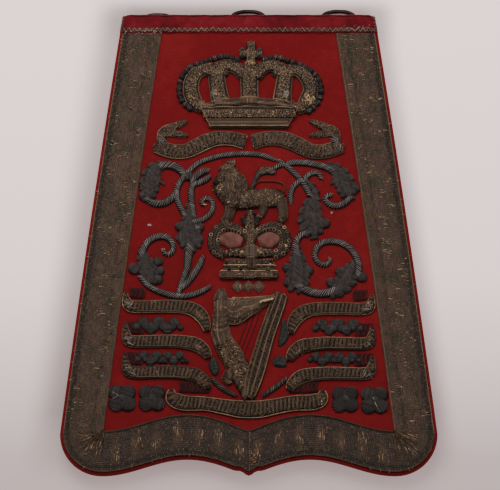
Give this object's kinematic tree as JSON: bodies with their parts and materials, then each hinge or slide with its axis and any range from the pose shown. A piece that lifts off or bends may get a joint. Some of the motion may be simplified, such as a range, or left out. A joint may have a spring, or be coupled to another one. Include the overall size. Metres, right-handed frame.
{
  "type": "hussar officer's full-dress sabretache",
  "caption": "Flat leather pouch with a stiff embroidered cloth flap, waved hem, metal lace border and three sling rings, lying face up.",
  "frame": {"origin": "bottom centre of the whole part as it lies on its back", "axes": "+X to the right across the flap, +Y towards the bound top edge, +Z out of the embroidered face"},
  "size_m": [0.277, 0.3634, 0.0226],
  "materials": {
    "red_leather": "worn red goatskin, dull sheen",
    "scarlet_cloth": "milled scarlet broadcloth",
    "metal_lace": "woven lace of tarnished gold thread",
    "gold_bullion": "raised embroidery in tarnished gold bullion and cut purl",
    "silver_thread": "raised embroidery in dark tarnished silver thread",
    "velvet": "faded rose velvet",
    "dark_brass": "dark patinated brass wire"
  },
  "bodies": {
    "sabretache": {"big_crown": "gold_bullion", "bud_right_of_harp": "silver_thread", "chape_left": "red_leather", "chape_middle": "red_leather", "chape_right": "red_leather", "cloth_face": "scarlet_cloth", "cushion_left": "velvet", "cushion_right": "velvet", "flap_board": "red_leather", "foliage_left": "silver_thread", "foliage_right": "silver_thread", "harp": "gold_bullion", "lace_left": "metal_lace", "lace_right": "metal_lace", "leaf_left_of_harp": "silver_thread", "leaf_right_of_harp": "silver_thread", "lion": "gold_bullion", "lozenge_row": "gold_bullion", "pocket_back": "red_leather", "pocket_front": "red_leather", "pocket_gusset": "red_leather", "rosette_left_inner": "silver_thread", "rosette_left_outer": "silver_thread", "rosette_right_inner": "silver_thread", "rosette_right_outer": "silver_thread", "scroll_bottom": "gold_bullion", "scroll_left_1": "gold_bullion", "scroll_left_2": "gold_bullion", "scroll_left_3": "gold_bullion", "scroll_right_1": "gold_bullion", "scroll_right_2": "gold_bullion", "scroll_right_3": "gold_bullion", "shamrock_left_lower": "silver_thread", "shamrock_left_upper": "silver_thread", "shamrock_right_lower": "silver_thread", "shamrock_right_upper": "silver_thread", "small_crown": "gold_bullion", "stem_left_of_harp": "silver_thread", "stem_right_of_harp": "silver_thread", "top_binding": "red_leather", "trefoil_left_lower": "silver_thread", "trefoil_right_lower": "silver_thread", "upper_scroll_left": "gold_bullion", "upper_scroll_right": "gold_bullion"},
    "ring_left": {"sling_ring_left": "dark_brass"},
    "ring_middle": {"sling_ring_middle": "dark_brass"},
    "ring_right": {"sling_ring_right": "dark_brass"}
  },
  "joints": [
    {"name": "ring_left_swing", "type": "hinge", "parent": "sabretache", "child": "ring_left", "pos_m": [-0.069, 0.154, 0.006], "axis": [1, 0, 0], "range_deg": [-120, 10]},
    {"name": "ring_middle_swing", "type": "hinge", "parent": "sabretache", "child": "ring_middle", "pos_m": [-0.0005, 0.1567, 0.006], "axis": [1, 0, 0], "range_deg": [-120, 10]},
    {"name": "ring_right_swing", "type": "hinge", "parent": "sabretache", "child": "ring_right", "pos_m": [0.0679, 0.1567, 0.006], "axis": [1, 0, 0], "range_deg": [-120, 10]}
  ]
}
